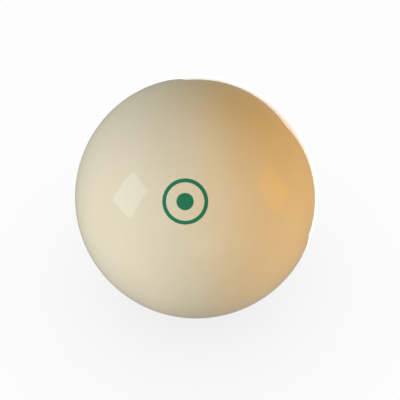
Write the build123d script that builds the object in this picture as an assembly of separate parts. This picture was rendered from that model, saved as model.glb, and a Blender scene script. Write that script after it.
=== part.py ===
from build123d import *
import math
import os

# A magnetic cue ball, of the kind that coin-operated tables pick out of the returned balls.
# Millimetres. The origin is the centre of the ball and +Z is up.
# The mark faces the front, -Y, tilted upwards.

# ---- driving dimensions ----------------------------------------------------------------------

BALL_DIAMETER = 57.15  # regulation pool ball, 2 1/4 inch
LAYER_THICKNESS = 4.6  # the outer layer, cast round the core ball

DISC_DIAMETER = 10.0  # steel discs that the magnet in the ball return pulls on
DISC_THICKNESS = 1.0
DISC_SINK = 0.4  # how far the rim of a disc lies below the surface of the core ball
DISC_GAP = 0.05  # radial clearance of a disc in its pocket

MARK_TILT = 43.0  # degrees that the mark faces above the horizontal
RING_DIAMETER = 9.6  # outside of the inlaid ring
RING_STROKE = 0.8
DOT_DIAMETER = 3.6
INLAY_DEPTH = 0.6  # how deep the engraving goes that the inlays fill

# ---- sizes that follow -----------------------------------------------------------------------

ball_radius = BALL_DIAMETER / 2
core_radius = ball_radius - LAYER_THICKNESS
disc_radius = DISC_DIAMETER / 2
pocket_radius = disc_radius + DISC_GAP
ring_radius = RING_DIAMETER / 2

# The flat faces of a disc are square to its axis, at these distances from the centre of the ball.
disc_face = math.sqrt(core_radius**2 - pocket_radius**2) - DISC_SINK
disc_seat = disc_face - DISC_THICKNESS


# ---- places ----------------------------------------------------------------------------------


def facing(direction):
    """A plane through the centre of the ball whose normal is the given direction."""
    return Plane(origin=(0, 0, 0), z_dir=direction)


def mark_plane():
    tilt = math.radians(MARK_TILT)
    return facing((0, -math.cos(tilt), math.sin(tilt)))


def disc_planes():
    """The plane of each disc, by name. The discs lie at the corners of a regular icosahedron."""
    planes = {"steel_disc_top": facing((0, 0, 1)), "steel_disc_bottom": facing((0, 0, -1))}
    row_count = 5
    latitude = math.atan(1 / 2)  # of the two rows of corners above and below the equator
    back = math.pi / 2
    for row, side, first in (("upper", 1, back), ("lower", -1, -back)):
        for number in range(row_count):
            angle = first + number * 2 * math.pi / row_count
            direction = (
                math.cos(latitude) * math.cos(angle),
                math.cos(latitude) * math.sin(angle),
                math.sin(latitude) * side,
            )
            planes[f"steel_disc_{row}_{number + 1}"] = facing(direction)
    return planes


# ---- pieces ----------------------------------------------------------------------------------


def post(plane, radius, start, end):
    """A round post along the plane's normal, between two distances from the centre of the ball."""
    ends = (Align.CENTER, Align.CENTER, Align.MIN)
    return plane * Pos(0, 0, start) * Cylinder(radius, end - start, align=ends)


def steel_disc(plane):
    return post(plane, disc_radius, disc_seat, disc_face)


def core_ball(planes):
    """The inner ball, with a round flat-bottomed pocket for each disc."""
    core = Sphere(core_radius)
    for plane in planes:
        core -= post(plane, pocket_radius, disc_seat, ball_radius)
    return core


def ball(plane, radius):
    """A ball about the centre, with its poles on the plane's normal."""
    return plane * Sphere(radius)


def outer_layer(planes, plane, inlays):
    """The cast layer. It fills each pocket above the disc, and it is engraved for the mark."""
    inside = Sphere(core_radius)
    for disc_plane in planes:
        inside -= post(disc_plane, pocket_radius, disc_face, ball_radius)
    layer = ball(plane, ball_radius) - inside
    for inlay in inlays:
        layer -= inlay
    return layer


def inlaid(plane, outline):
    """What lies in the skin of the ball of a straight-sided outline round the plane's normal."""
    skin = ball(plane, ball_radius) - ball(plane, ball_radius - INLAY_DEPTH)
    return outline & skin


def mark_ring(plane):
    outside = post(plane, ring_radius, 0, BALL_DIAMETER)
    inside = post(plane, ring_radius - RING_STROKE, 0, BALL_DIAMETER)
    return inlaid(plane, outside - inside)


def mark_dot(plane):
    return inlaid(plane, post(plane, DOT_DIAMETER / 2, 0, BALL_DIAMETER))


# ---- assembly --------------------------------------------------------------------------------


def assemble():
    """Every piece of the ball, by name, where it lies in the ball."""
    front = mark_plane()
    planes = disc_planes()
    pieces = {name: steel_disc(plane) for name, plane in planes.items()}
    pieces["mark_ring"] = mark_ring(front)
    pieces["mark_dot"] = mark_dot(front)
    inlays = (pieces["mark_ring"], pieces["mark_dot"])
    pieces["core_ball"] = core_ball(planes.values())
    pieces["outer_layer"] = outer_layer(planes.values(), front, inlays)
    return pieces


os.makedirs("parts", exist_ok=True)
for name, piece in assemble().items():
    export_step(piece, f"parts/{name}.step")
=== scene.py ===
import math

import bmesh
import bpy
from bpy.props import FloatProperty, FloatVectorProperty, IntProperty, PointerProperty
from bpy.types import Operator, Panel, PropertyGroup
from mathutils import Matrix, Vector


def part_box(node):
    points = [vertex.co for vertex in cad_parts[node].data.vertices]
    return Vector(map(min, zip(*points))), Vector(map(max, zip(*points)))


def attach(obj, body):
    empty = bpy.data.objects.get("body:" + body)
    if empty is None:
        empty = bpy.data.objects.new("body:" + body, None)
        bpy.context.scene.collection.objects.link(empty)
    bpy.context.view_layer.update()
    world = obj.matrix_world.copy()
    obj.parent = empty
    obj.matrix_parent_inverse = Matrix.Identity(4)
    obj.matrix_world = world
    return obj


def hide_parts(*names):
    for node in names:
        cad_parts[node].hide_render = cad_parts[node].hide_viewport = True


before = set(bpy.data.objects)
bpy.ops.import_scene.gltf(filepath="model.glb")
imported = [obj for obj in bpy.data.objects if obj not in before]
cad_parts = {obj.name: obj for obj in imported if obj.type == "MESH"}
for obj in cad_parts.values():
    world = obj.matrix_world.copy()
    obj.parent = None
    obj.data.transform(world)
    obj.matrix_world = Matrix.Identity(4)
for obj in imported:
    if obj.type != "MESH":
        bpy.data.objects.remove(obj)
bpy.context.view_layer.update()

bl_info = {
    "name": "Magnetic Cue Ball",
    "version": (1, 0, 0),
    "blender": (4, 5, 0),
    "location": "3D View > Sidebar > Cue Ball",
    "description": "Cast resin cue ball with an inlaid mark, built on its packed CAD model",
    "category": "Object",
}

# Metres throughout, as in the CAD model. The origin is the centre of the ball and +Z is up.
# The ball stands on its lowest point. Its mark faces the front, -Y, tilted upwards.

BODY = "root"
WELD = 1e-7  # vertices nearer to each other than this are one

# What is left of the outer layer's CAD mesh for its inner wall lies below this share of the way
# from the core ball to the floor of the engraving.
INNER_SHARE = 0.5

RIM_ANGLE = math.radians(45)  # an edge at the surface that turns more than this is broken
SHARP_ANGLE = math.radians(40)  # the shading is smooth across edges that turn less than this
RIM_SEGMENTS = 3  # faces across a broken edge

# Faces across the dot, the ivory between dot and ring, the ring's stroke, and the narrow band
# outside the ring, which reaches this many times as far from the axis as the ring.
DOT_STEPS = 10
BETWEEN_STEPS = 14
STROKE_STEPS = 4
BAND_STEPS = 2
BAND_REACH = 1.01

CAST_RESIN_IOR = 1.55
FILLED_RESIN_IOR = 1.5
TOOL_MARKS = 780.0  # scale of the texture that makes the tool marks on the core ball


# ---- sizes read from the CAD model -----------------------------------------------------------


def reach(node, measure):
    """The least and the greatest of a measure over the vertices of a CAD node."""
    values = [measure(vertex.co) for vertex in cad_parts[node].data.vertices]
    return min(values), max(values)


def mark_axis():
    """The direction from the centre of the ball to the middle of the mark."""
    low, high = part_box("mark_dot")
    return (low + high).normalized()


def off_axis(point):
    """How far a point lies from the axis of the mark."""
    return (point - point.dot(AXIS) * AXIS).length


AXIS = mark_axis()
BALL_RADIUS = reach("outer_layer", lambda point: point.length)[1]
CORE_RADIUS = reach("core_ball", lambda point: point.length)[1]
FLOOR_RADIUS = reach("mark_dot", lambda point: point.length)[0]
DOT_RADIUS = reach("mark_dot", off_axis)[1]
RING_INSIDE, RING_OUTSIDE = reach("mark_ring", off_axis)


# ---- sizes and colours that a user may change ------------------------------------------------


class CUEBALL_PG_shape(PropertyGroup):
    """How finely the pieces are modelled, and how their edges are broken."""

    turns: IntProperty(
        name="Steps Round",
        description="Faces once round the axis of the mark",
        default=288,
        min=48,
        max=320,
    )
    rows: IntProperty(
        name="Steps Down",
        description="Faces from the edge of the mark to the far pole",
        default=150,
        min=24,
        max=200,
    )
    edge: FloatProperty(
        name="Broken Edge",
        description="Width of the rounding that polishing leaves along the edges of the mark",
        default=0.000015,
        min=0.000005,
        max=0.0001,
        subtype="DISTANCE",
        unit="LENGTH",
        precision=6,
    )


class CUEBALL_PG_finish(PropertyGroup):
    """Colours and polish of the resins and the steel."""

    ivory: FloatVectorProperty(
        name="Ivory",
        description="Main colour of the outer layer",
        default=(0.84, 0.775, 0.615),
        min=0.0,
        max=1.0,
        subtype="COLOR",
    )
    ivory_deep: FloatVectorProperty(
        name="Deep Ivory",
        description="Colour of the slightly yellower clouds in the outer layer",
        default=(0.82, 0.75, 0.58),
        min=0.0,
        max=1.0,
        subtype="COLOR",
    )
    green: FloatVectorProperty(
        name="Mark Green",
        description="Colour of the resin inlaid in the mark",
        default=(0.005, 0.225, 0.118),
        min=0.0,
        max=1.0,
        subtype="COLOR",
    )
    core: FloatVectorProperty(
        name="Core",
        description="Colour of the filled resin of the core ball",
        default=(0.55, 0.50, 0.40),
        min=0.0,
        max=1.0,
        subtype="COLOR",
    )
    steel: FloatVectorProperty(
        name="Steel",
        description="Colour of the steel discs",
        default=(0.62, 0.62, 0.60),
        min=0.0,
        max=1.0,
        subtype="COLOR",
    )
    polish: FloatProperty(
        name="Polish",
        description="Roughness of the polished surface of the ball",
        default=0.02,
        min=0.0,
        max=0.5,
        subtype="FACTOR",
    )


class CUEBALL_PG_light(PropertyGroup):
    """The soft boxes of the studio, and the even light between them."""

    daylight: FloatVectorProperty(
        name="Daylight Box",
        description="Light of the soft box on the left",
        default=(0.71, 0.75, 0.79),
        min=0.0,
        subtype="COLOR",
    )
    lamplight: FloatVectorProperty(
        name="Lamplight Box",
        description="Light of the warm soft box on the right",
        default=(0.64, 0.31, 0.03),
        min=0.0,
        subtype="COLOR",
    )
    front: FloatVectorProperty(
        name="Front Box",
        description="Light of the low soft box at the front",
        default=(0.27, 0.27, 0.27),
        min=0.0,
        subtype="COLOR",
    )
    back: FloatVectorProperty(
        name="Back Box",
        description="Light of the low soft box behind the ball",
        default=(0.75, 0.80, 0.85),
        min=0.0,
        subtype="COLOR",
    )
    even: FloatVectorProperty(
        name="Even Light",
        description="Light that comes from every side alike",
        default=(0.22, 0.19, 0.12),
        min=0.0,
        subtype="COLOR",
    )
    surround: FloatVectorProperty(
        name="Surround",
        description="What the polish shows between the soft boxes",
        default=(0.40, 0.38, 0.33),
        min=0.0,
        subtype="COLOR",
    )
    backdrop: FloatProperty(
        name="Backdrop",
        description="Brightness of the floor and of what lies beyond it",
        default=0.98,
        min=0.0,
        max=1.0,
        subtype="FACTOR",
    )
    contact: FloatProperty(
        name="Contact Shadow",
        description="How much darker the floor is right under the ball",
        default=0.18,
        min=0.0,
        max=1.0,
        subtype="FACTOR",
    )


class CUEBALL_PG_camera(PropertyGroup):
    """Where the camera stands."""

    azimuth: FloatProperty(
        name="Azimuth",
        description="Angle of the camera to the right of the front",
        default=math.radians(6.4),
        subtype="ANGLE",
        unit="ROTATION",
    )
    elevation: FloatProperty(
        name="Elevation",
        description="Angle of the camera above the horizontal",
        default=math.radians(45.0),
        subtype="ANGLE",
        unit="ROTATION",
    )
    distance: FloatProperty(
        name="Distance",
        description="From the camera to the centre of the ball",
        default=0.2243,
        min=0.1,
        subtype="DISTANCE",
        unit="LENGTH",
    )
    lens: FloatProperty(
        name="Lens",
        description="Focal length in millimetres",
        default=85.0,
        min=20.0,
    )
    shift_x: FloatProperty(
        name="Shift Right",
        description="Share of the picture's width that the view is shifted to the right",
        default=0.0092,
    )
    shift_y: FloatProperty(
        name="Shift Up",
        description="Share of the picture's width that the view is shifted upwards",
        default=-0.0070,
    )


# ---- profiles and turned meshes --------------------------------------------------------------


def height_on(radius, out):
    """How far along the axis a sphere of this radius lies, at a distance out from the axis."""
    return math.sqrt(radius**2 - out**2)


def start_profile(mesh, radius, out):
    """Puts down the first point of a profile, on a sphere about the centre. The axis is Z."""
    return mesh.verts.new((out, 0, height_on(radius, out)))


def arc_to(mesh, point, out, steps):
    """Carries a profile along the sphere that its last point is on, to a distance from the axis."""
    radius = point.co.length
    turn = math.asin(min(1.0, out / radius)) - math.atan2(point.co.x, point.co.z)
    return sweep(mesh, point, turn, steps)


def arc_to_pole(mesh, point, steps):
    """Carries a profile along its sphere to the pole on the far side."""
    return sweep(mesh, point, math.pi - math.atan2(point.co.x, point.co.z), steps)


def sweep(mesh, point, turn, steps):
    """Sweeps one point round the centre, away from the axis, and gives the last one."""
    swept = bmesh.ops.spin(
        mesh, geom=[point], cent=(0, 0, 0), axis=(0, 1, 0), angle=turn, steps=steps
    )
    return swept["geom_last"][0]


def wall_to(mesh, point, radius):
    """Carries a profile straight along the axis to a sphere of this radius."""
    drawn = bmesh.ops.extrude_vert_indiv(mesh, verts=[point])["verts"][0]
    drawn.co.z = height_on(radius, point.co.x)
    return drawn


def turned(mesh, turns, edge):
    """Turns a profile full circle about Z, breaks the edges at the surface of the ball, and
    lays the shape round the axis of the mark."""
    bmesh.ops.remove_doubles(mesh, verts=mesh.verts, dist=WELD)
    bmesh.ops.spin(
        mesh,
        geom=mesh.verts[:] + mesh.edges[:],
        cent=(0, 0, 0),
        axis=(0, 0, 1),
        angle=2 * math.pi,
        steps=turns,
        use_merge=True,
    )
    bmesh.ops.remove_doubles(mesh, verts=mesh.verts, dist=WELD)
    bmesh.ops.recalc_face_normals(mesh, faces=mesh.faces)
    rims = [line for line in mesh.edges if is_rim(line)]
    bmesh.ops.bevel(
        mesh,
        geom=rims,
        affect="EDGES",
        offset=edge,
        segments=RIM_SEGMENTS,
        profile=0.5,
        material=-1,
    )
    upright = Vector((0, 0, 1)).rotation_difference(AXIS).to_matrix()
    bmesh.ops.rotate(mesh, cent=(0, 0, 0), matrix=upright, verts=mesh.verts)


def is_rim(line):
    """Whether an edge is on the surface of the ball with a straight wall below it."""
    on_surface = all(abs(end.co.length - BALL_RADIUS) < WELD for end in line.verts)
    return on_surface and line.calc_face_angle(0) > RIM_ANGLE


def finished(mesh, name, material, slot, *replaced):
    """Makes a piece of a mesh: smooth, in its finish, and in place of its CAD nodes."""
    data = bpy.data.meshes.new(name)
    mesh.to_mesh(data)
    mesh.free()
    data.shade_smooth()
    data.set_sharp_from_angle(angle=SHARP_ANGLE)
    data.materials.append(material)
    piece = bpy.data.objects.new(name, data)
    bpy.context.scene.collection.objects.link(piece)
    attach(piece, BODY)
    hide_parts(*replaced)
    return piece


# ---- finishes --------------------------------------------------------------------------------


def new_finish(name):
    """A new material, with its node tree and its shader."""
    material = bpy.data.materials.new(name)
    material.use_nodes = True
    tree = material.node_tree
    return material, tree, tree.nodes["Principled BSDF"]


def put(tree, kind, inputs=(), **settings):
    """Adds a node to a tree. Inputs are values or the sockets that feed them."""
    added = tree.nodes.new(kind)
    for key, value in settings.items():
        setattr(added, key, value)
    for key, value in dict(inputs).items():
        if isinstance(value, bpy.types.NodeSocket):
            tree.links.new(value, added.inputs[key])
        else:
            added.inputs[key].default_value = value
    return added


def place_on_piece(tree):
    """Object coordinates, which are metres in the frame of the ball."""
    return put(tree, "ShaderNodeTexCoord").outputs["Object"]


def noise(tree, place, size, detail=2.0, distortion=0.0):
    """Noise from about 0 to 1 with spots of the given size."""
    inputs = {"Vector": place, "Scale": 1 / size, "Detail": detail, "Distortion": distortion}
    return put(tree, "ShaderNodeTexNoise", inputs).outputs["Fac"]


def spread(tree, value, low, high, start=0.35, end=0.65):
    """Spreads the middle of a noise over a range."""
    inputs = {"Value": value, "From Min": start, "From Max": end, "To Min": low, "To Max": high}
    return put(tree, "ShaderNodeMapRange", inputs).outputs["Result"]


def blended(tree, share, first, second):
    """Two colours, mixed by a share."""
    node = put(tree, "ShaderNodeMix", data_type="RGBA")
    tree.links.new(share, node.inputs["Factor"])
    for key, colour in (("A", first), ("B", second)):
        socket = next(s for s in node.inputs if s.name == key and s.type == "RGBA")
        if isinstance(colour, bpy.types.NodeSocket):
            tree.links.new(colour, socket)
        else:
            socket.default_value = (*colour, 1)
    return next(s for s in node.outputs if s.type == "RGBA")


def scaled(colour, share):
    """A colour made lighter or darker."""
    return tuple(channel * share for channel in colour)


def ivory_resin(finish):
    """Cast resin, buffed to a high gloss: faint clouds in the colour, and hairlines in the polish."""
    material, tree, shader = new_finish("ivory_resin")
    place = place_on_piece(tree)
    clouds = spread(tree, noise(tree, place, size=0.011, detail=3.0), 0, 1)
    body = blended(tree, clouds, finish.ivory, finish.ivory_deep)
    grain = spread(tree, noise(tree, place, size=0.0007, detail=2.0), 0, 0.35)
    colour = blended(tree, grain, body, scaled(finish.ivory, 0.95))
    tree.links.new(colour, shader.inputs["Base Color"])
    tree.links.new(polish_of(tree, place, finish.polish), shader.inputs["Roughness"])
    tree.links.new(orange_peel(tree, place), shader.inputs["Normal"])
    shader.inputs["IOR"].default_value = CAST_RESIN_IOR
    return material


def polish_of(tree, place, roughness):
    """Roughness of a buffed surface, a little higher along fine curved hairlines."""
    haze = spread(tree, noise(tree, place, size=0.004), roughness, roughness * 1.5)
    swirl = noise(tree, place, size=0.006, detail=4.0, distortion=1.5)
    inputs = {0: swirl, 1: 0.5}
    ridge = put(tree, "ShaderNodeMath", inputs, operation="SUBTRACT").outputs[0]
    height = put(tree, "ShaderNodeMath", {0: ridge}, operation="ABSOLUTE").outputs[0]
    hairline = spread(tree, height, 0.02, 0, start=0, end=0.003)
    return put(tree, "ShaderNodeMath", {0: haze, 1: hairline}, operation="ADD").outputs[0]


def orange_peel(tree, place):
    """The faint waves that buffing leaves."""
    waves = noise(tree, place, size=0.0015, detail=1.0)
    inputs = {"Strength": 1.0, "Distance": 0.0000003, "Height": waves}
    return put(tree, "ShaderNodeBump", inputs).outputs["Normal"]


def mark_resin(finish):
    """The green filler resin of the mark, polished with the ball."""
    material, tree, shader = new_finish("mark_resin")
    place = place_on_piece(tree)
    grain = spread(tree, noise(tree, place, size=0.0006, detail=3.0), 0, 1)
    colour = blended(tree, grain, finish.green, scaled(finish.green, 0.86))
    tree.links.new(colour, shader.inputs["Base Color"])
    roughness = spread(tree, noise(tree, place, size=0.0004), finish.polish, finish.polish * 2)
    tree.links.new(roughness, shader.inputs["Roughness"])
    shader.inputs["IOR"].default_value = CAST_RESIN_IOR
    return material


def core_resin(finish):
    """Mineral-filled casting resin, turned to size: speckled and matte, with fine tool marks."""
    material, tree, shader = new_finish("core_resin")
    place = place_on_piece(tree)
    speck = spread(tree, noise(tree, place, size=0.0005, detail=4.0), 0, 1, 0.45, 0.62)
    cloud = spread(tree, noise(tree, place, size=0.008, detail=3.0), 0, 1)
    body = blended(tree, cloud, finish.core, scaled(finish.core, 0.88))
    colour = blended(tree, speck, body, scaled(finish.core, 0.74))
    tree.links.new(colour, shader.inputs["Base Color"])
    inputs = {"Vector": place, "Scale": TOOL_MARKS, "Distortion": 0.4, "Detail": 2.0}
    marks = put(
        tree, "ShaderNodeTexWave", inputs, wave_type="BANDS", bands_direction="Z"
    ).outputs["Fac"]
    tree.links.new(spread(tree, marks, 0.42, 0.6, 0, 1), shader.inputs["Roughness"])
    inputs = {"Strength": 0.6, "Distance": 0.00001, "Height": marks}
    tree.links.new(put(tree, "ShaderNodeBump", inputs).outputs["Normal"], shader.inputs["Normal"])
    shader.inputs["IOR"].default_value = FILLED_RESIN_IOR
    return material


def disc_steel(finish):
    """Cold-rolled steel strip: a fine grain one way, and a few duller patches."""
    material, tree, shader = new_finish("disc_steel")
    place = place_on_piece(tree)
    inputs = {"Vector": place, "Scale": (1.0, 1.0, 14.0)}
    grain_place = put(tree, "ShaderNodeMapping", inputs).outputs["Vector"]
    grain = noise(tree, grain_place, size=0.0022, detail=6.0)
    patch = spread(tree, noise(tree, place, size=0.003, detail=3.0), 0, 1)
    colour = blended(tree, patch, finish.steel, scaled(finish.steel, 0.8))
    tree.links.new(colour, shader.inputs["Base Color"])
    tree.links.new(spread(tree, grain, 0.22, 0.46), shader.inputs["Roughness"])
    inputs = {"Strength": 0.5, "Distance": 0.000006, "Height": grain}
    tree.links.new(put(tree, "ShaderNodeBump", inputs).outputs["Normal"], shader.inputs["Normal"])
    shader.inputs["Metallic"].default_value = 1.0
    return material


def give_finish(node, material):
    """Puts a material on a CAD node that stays as it is."""
    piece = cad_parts[node]
    piece.data.materials.clear()
    piece.data.materials.append(material)


# ---- pieces ----------------------------------------------------------------------------------


class CUEBALL_OT_outer_layer(Operator):
    """Build the cast outer layer, engraved for the mark"""

    bl_idname = "cue_ball.outer_layer"
    bl_label = "Outer Layer"

    def execute(self, context):
        shape = context.scene.cue_ball_shape
        mesh = bmesh.new()
        point = start_profile(mesh, FLOOR_RADIUS, 0)
        point = arc_to(mesh, point, DOT_RADIUS, DOT_STEPS)
        point = wall_to(mesh, point, BALL_RADIUS)
        point = arc_to(mesh, point, RING_INSIDE, BETWEEN_STEPS)
        point = wall_to(mesh, point, FLOOR_RADIUS)
        point = arc_to(mesh, point, RING_OUTSIDE, STROKE_STEPS)
        point = wall_to(mesh, point, BALL_RADIUS)
        point = arc_to(mesh, point, RING_OUTSIDE * BAND_REACH, BAND_STEPS)
        arc_to_pole(mesh, point, shape.rows)
        turned(mesh, shape.turns, shape.edge)
        mesh.from_mesh(self.inner_wall())
        material = ivory_resin(context.scene.cue_ball_finish)
        finished(mesh, "cast_layer", material, "ivory_resin", "outer_layer")
        return {"FINISHED"}

    def inner_wall(self):
        """The CAD layer's own inner wall, with the resin that fills the pockets of the discs."""
        limit = CORE_RADIUS + (FLOOR_RADIUS - CORE_RADIUS) * INNER_SHARE
        mesh = bmesh.new()
        mesh.from_mesh(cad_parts["outer_layer"].data)
        bmesh.ops.remove_doubles(mesh, verts=mesh.verts, dist=WELD)
        outer = [face for face in mesh.faces if face.verts[0].co.length > limit]
        bmesh.ops.delete(mesh, geom=outer, context="FACES")
        data = bpy.data.meshes.new("inner_wall")
        mesh.to_mesh(data)
        mesh.free()
        return data


class CUEBALL_OT_mark(Operator):
    """Build the green ring and dot that are inlaid in the ball"""

    bl_idname = "cue_ball.mark"
    bl_label = "Mark"

    def execute(self, context):
        shape = context.scene.cue_ball_shape
        material = mark_resin(context.scene.cue_ball_finish)

        dot = bmesh.new()
        point = start_profile(dot, FLOOR_RADIUS, 0)
        point = arc_to(dot, point, DOT_RADIUS, DOT_STEPS)
        point = wall_to(dot, point, BALL_RADIUS)
        arc_to(dot, point, 0, DOT_STEPS)
        turned(dot, shape.turns, shape.edge)
        finished(dot, "green_dot", material, "mark_resin", "mark_dot")

        ring = bmesh.new()
        point = start_profile(ring, FLOOR_RADIUS, RING_INSIDE)
        point = arc_to(ring, point, RING_OUTSIDE, STROKE_STEPS)
        point = wall_to(ring, point, BALL_RADIUS)
        point = arc_to(ring, point, RING_INSIDE, STROKE_STEPS)
        wall_to(ring, point, FLOOR_RADIUS)
        turned(ring, shape.turns, shape.edge)
        finished(ring, "green_ring", material, "mark_resin", "mark_ring")
        return {"FINISHED"}


class CUEBALL_OT_inside(Operator):
    """Give the core ball and the steel discs their finishes"""

    bl_idname = "cue_ball.inside"
    bl_label = "Core Ball and Steel Discs"

    def execute(self, context):
        finish = context.scene.cue_ball_finish
        give_finish("core_ball", core_resin(finish))
        steel = disc_steel(finish)
        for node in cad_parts:
            if node.startswith("steel_disc"):
                give_finish(node, steel)
        return {"FINISHED"}


# ---- stage -----------------------------------------------------------------------------------

FLOOR_SIZE = 12.0
# the contact shadow on the floor is painted shade, made from ambient occlusion
SHADOW_REACH = 1.3  # how far the contact shadow reaches, in radii of the ball
SHADOW_SAMPLES = 16
BOX_DISTANCE = 2.0  # how far off the soft boxes stand

# A place is degrees from the front towards the right, and degrees above the horizon. A size is
# how wide and how high a soft box looks from the ball, in degrees.
DAYLIGHT_PLACE = (-65, 20)
DAYLIGHT_SIZE = (24, 30)
LAMPLIGHT_PLACE = (90, 15)
LAMPLIGHT_SIZE = (24, 30)
FRONT_PLACE = (15, 0)
FRONT_SIZE = (30, 20)
BACK_PLACE = (170, -30)
BACK_SIZE = (40, 40)

MIRRORED = 2.5  # how brightly the polish shows a soft box, for the light that the box gives

SENSOR_WIDTH = 36.0  # millimetres, of a full-frame camera
CLIP_START = 0.01
CLIP_END = 20.0


def direction(azimuth, elevation):
    """The direction at an angle from the front towards the right, and one above the horizon."""
    level = math.cos(elevation)
    return Vector((math.sin(azimuth) * level, -math.cos(azimuth) * level, math.sin(elevation)))


def box_matrix(azimuth, elevation):
    """Where a soft box stands, at angles in degrees: X along its width, Y up, its back along Z."""
    way = direction(math.radians(azimuth), math.radians(elevation))
    return Matrix.Translation(way * BOX_DISTANCE) @ way.to_track_quat("Z", "Y").to_matrix().to_4x4()


def span(degrees):
    """The width, at the distance of the soft boxes, of what looks that wide from the ball."""
    return 2 * BOX_DISTANCE * math.tan(math.radians(degrees) / 2)


def new_glow(name, colour):
    """A material that only glows."""
    material = bpy.data.materials.new(name)
    material.use_nodes = True
    tree = material.node_tree
    tree.nodes.clear()
    glow = put(tree, "ShaderNodeEmission", {"Color": (*colour, 1)})
    output = put(tree, "ShaderNodeOutputMaterial")
    tree.links.new(glow.outputs["Emission"], output.inputs["Surface"])
    return material, tree, glow


def staged(mesh, name, material):
    """Makes an object of the stage, which isn't part of the ball and doesn't light it."""
    data = bpy.data.meshes.new(name)
    mesh.to_mesh(data)
    mesh.free()
    data.materials.append(material)
    piece = bpy.data.objects.new(name, data)
    bpy.context.scene.collection.objects.link(piece)
    piece.visible_diffuse = False
    piece.visible_shadow = False
    piece.visible_transmission = False
    piece.visible_volume_scatter = False
    return piece


def studio_light(light):
    """Even light from every side. The polish shows the surround, and the camera the backdrop."""
    world = bpy.data.worlds.new("studio")
    world.use_nodes = True
    tree = world.node_tree
    tree.nodes.clear()
    even = put(tree, "ShaderNodeBackground", {"Color": (*light.even, 1)})
    surround = put(tree, "ShaderNodeBackground", {"Color": (*light.surround, 1)})
    backdrop = put(tree, "ShaderNodeBackground", {"Color": (*(light.backdrop,) * 3, 1)})
    ray = put(tree, "ShaderNodeLightPath")
    inputs = {0: ray.outputs["Is Glossy Ray"], 1: even.outputs[0], 2: surround.outputs[0]}
    unseen = put(tree, "ShaderNodeMixShader", inputs)
    inputs = {0: ray.outputs["Is Camera Ray"], 1: unseen.outputs[0], 2: backdrop.outputs[0]}
    either = put(tree, "ShaderNodeMixShader", inputs)
    output = put(tree, "ShaderNodeOutputWorld")
    tree.links.new(either.outputs[0], output.inputs["Surface"])
    bpy.context.scene.world = world


def pale_floor(light):
    """A pale floor that glows evenly, with a painted soft shadow where the ball stands: ambient
    occlusion dims its glow.
    """
    mesh = bmesh.new()
    bmesh.ops.create_grid(mesh, x_segments=1, y_segments=1, size=FLOOR_SIZE / 2)
    bmesh.ops.translate(mesh, vec=(0, 0, -BALL_RADIUS), verts=mesh.verts)
    pale = (light.backdrop,) * 3
    material, tree, glow = new_glow("pale_floor", pale)
    # painted contact shadow: ambient occlusion near the ball darkens the floor's glow, which no lamp
    # lights
    inputs = {"Distance": BALL_RADIUS * SHADOW_REACH}
    occlusion = put(tree, "ShaderNodeAmbientOcclusion", inputs, samples=SHADOW_SAMPLES)
    darkest = light.backdrop * (1 - light.contact)
    painted_shadow = spread(tree, occlusion.outputs["AO"], darkest, light.backdrop, 0, 1)
    tree.links.new(painted_shadow, glow.inputs["Color"])
    floor = staged(mesh, "floor", material)
    floor.visible_glossy = False


def soft_box(name, colour, place, size):
    """A plain rectangular soft box. Its colour is the light that it gives a face square to it.
    The polish shows a plain glowing panel in the same place, which gives no light of its own."""
    width, height = (span(degrees) for degrees in size)
    stand = box_matrix(*place)

    lamp = bpy.data.lights.new(name, "AREA")
    lamp.shape = "RECTANGLE"
    lamp.size = width
    lamp.size_y = height
    lamp.color = colour
    lamp.energy = (math.pi * BOX_DISTANCE) ** 2
    holder = bpy.data.objects.new(name, lamp)
    holder.matrix_world = stand
    holder.visible_glossy = False
    bpy.context.scene.collection.objects.link(holder)

    mesh = bmesh.new()
    bmesh.ops.create_grid(mesh, x_segments=1, y_segments=1, size=0.5)
    bmesh.ops.scale(mesh, vec=(width, height, 1), verts=mesh.verts)
    bmesh.ops.transform(mesh, matrix=stand, verts=mesh.verts)
    material, _, _ = new_glow(name, scaled(colour, MIRRORED))
    panel = staged(mesh, name + "_panel", material)
    panel.visible_camera = False


def camera(view):
    """The camera, aimed at the centre of the ball."""
    data = bpy.data.cameras.new("camera")
    data.lens = view.lens
    data.sensor_width = SENSOR_WIDTH
    data.shift_x = view.shift_x
    data.shift_y = view.shift_y
    data.clip_start = CLIP_START
    data.clip_end = CLIP_END
    holder = bpy.data.objects.new("camera", data)
    way = direction(view.azimuth, view.elevation)
    holder.location = way * view.distance
    holder.rotation_euler = way.to_track_quat("Z", "Y").to_euler()
    bpy.context.scene.collection.objects.link(holder)
    bpy.context.scene.camera = holder


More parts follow.
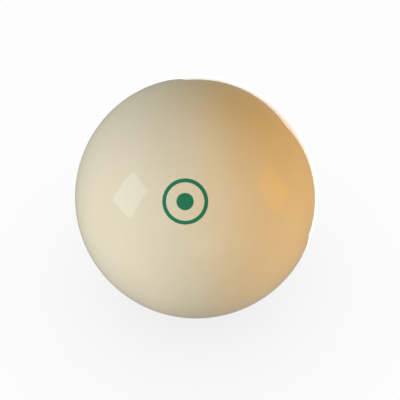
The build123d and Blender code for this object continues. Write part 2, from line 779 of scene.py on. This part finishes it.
class CUEBALL_OT_stage(Operator):
    """Set up the floor, the soft boxes and the camera"""

    bl_idname = "cue_ball.stage"
    bl_label = "Stage"

    def execute(self, context):
        scene = context.scene
        light = scene.cue_ball_light
        scene.view_settings.view_transform = "Standard"
        studio_light(light)
        pale_floor(light)
        soft_box("daylight_box", light.daylight, DAYLIGHT_PLACE, DAYLIGHT_SIZE)
        soft_box("lamplight_box", light.lamplight, LAMPLIGHT_PLACE, LAMPLIGHT_SIZE)
        soft_box("front_box", light.front, FRONT_PLACE, FRONT_SIZE)
        soft_box("back_box", light.back, BACK_PLACE, BACK_SIZE)
        camera(scene.cue_ball_camera)
        return {"FINISHED"}


# ---- panel -----------------------------------------------------------------------------------


class CUEBALL_PT_panel(Panel):
    """Build the ball piece by piece, and set its sizes, colours and light"""

    bl_idname = "CUEBALL_PT_panel"
    bl_label = "Cue Ball"
    bl_space_type = "VIEW_3D"
    bl_region_type = "UI"
    bl_category = "Cue Ball"

    def draw(self, context):
        scene = context.scene
        for operator, group in (
            (CUEBALL_OT_outer_layer, scene.cue_ball_shape),
            (CUEBALL_OT_mark, scene.cue_ball_finish),
            (CUEBALL_OT_inside, None),
            (CUEBALL_OT_stage, scene.cue_ball_light),
            (None, scene.cue_ball_camera),
        ):
            box = self.layout.box()
            if operator is not None:
                box.operator(operator.bl_idname)
            if group is not None:
                for name in group.__annotations__:
                    box.prop(group, name)


GROUPS = {
    "cue_ball_shape": CUEBALL_PG_shape,
    "cue_ball_finish": CUEBALL_PG_finish,
    "cue_ball_light": CUEBALL_PG_light,
    "cue_ball_camera": CUEBALL_PG_camera,
}
OPERATORS = (
    CUEBALL_OT_outer_layer,
    CUEBALL_OT_mark,
    CUEBALL_OT_inside,
    CUEBALL_OT_stage,
)


def register():
    for name, group in GROUPS.items():
        bpy.utils.register_class(group)
        setattr(bpy.types.Scene, name, PointerProperty(type=group))
    for each in (*OPERATORS, CUEBALL_PT_panel):
        bpy.utils.register_class(each)


def unregister():
    for each in reversed((*OPERATORS, CUEBALL_PT_panel)):
        bpy.utils.unregister_class(each)
    for name, group in GROUPS.items():
        delattr(bpy.types.Scene, name)
        bpy.utils.unregister_class(group)


def main():
    register()
    bpy.ops.cue_ball.outer_layer()
    bpy.ops.cue_ball.mark()
    bpy.ops.cue_ball.inside()
    bpy.ops.cue_ball.stage()


if __name__ == "__main__":
    main()
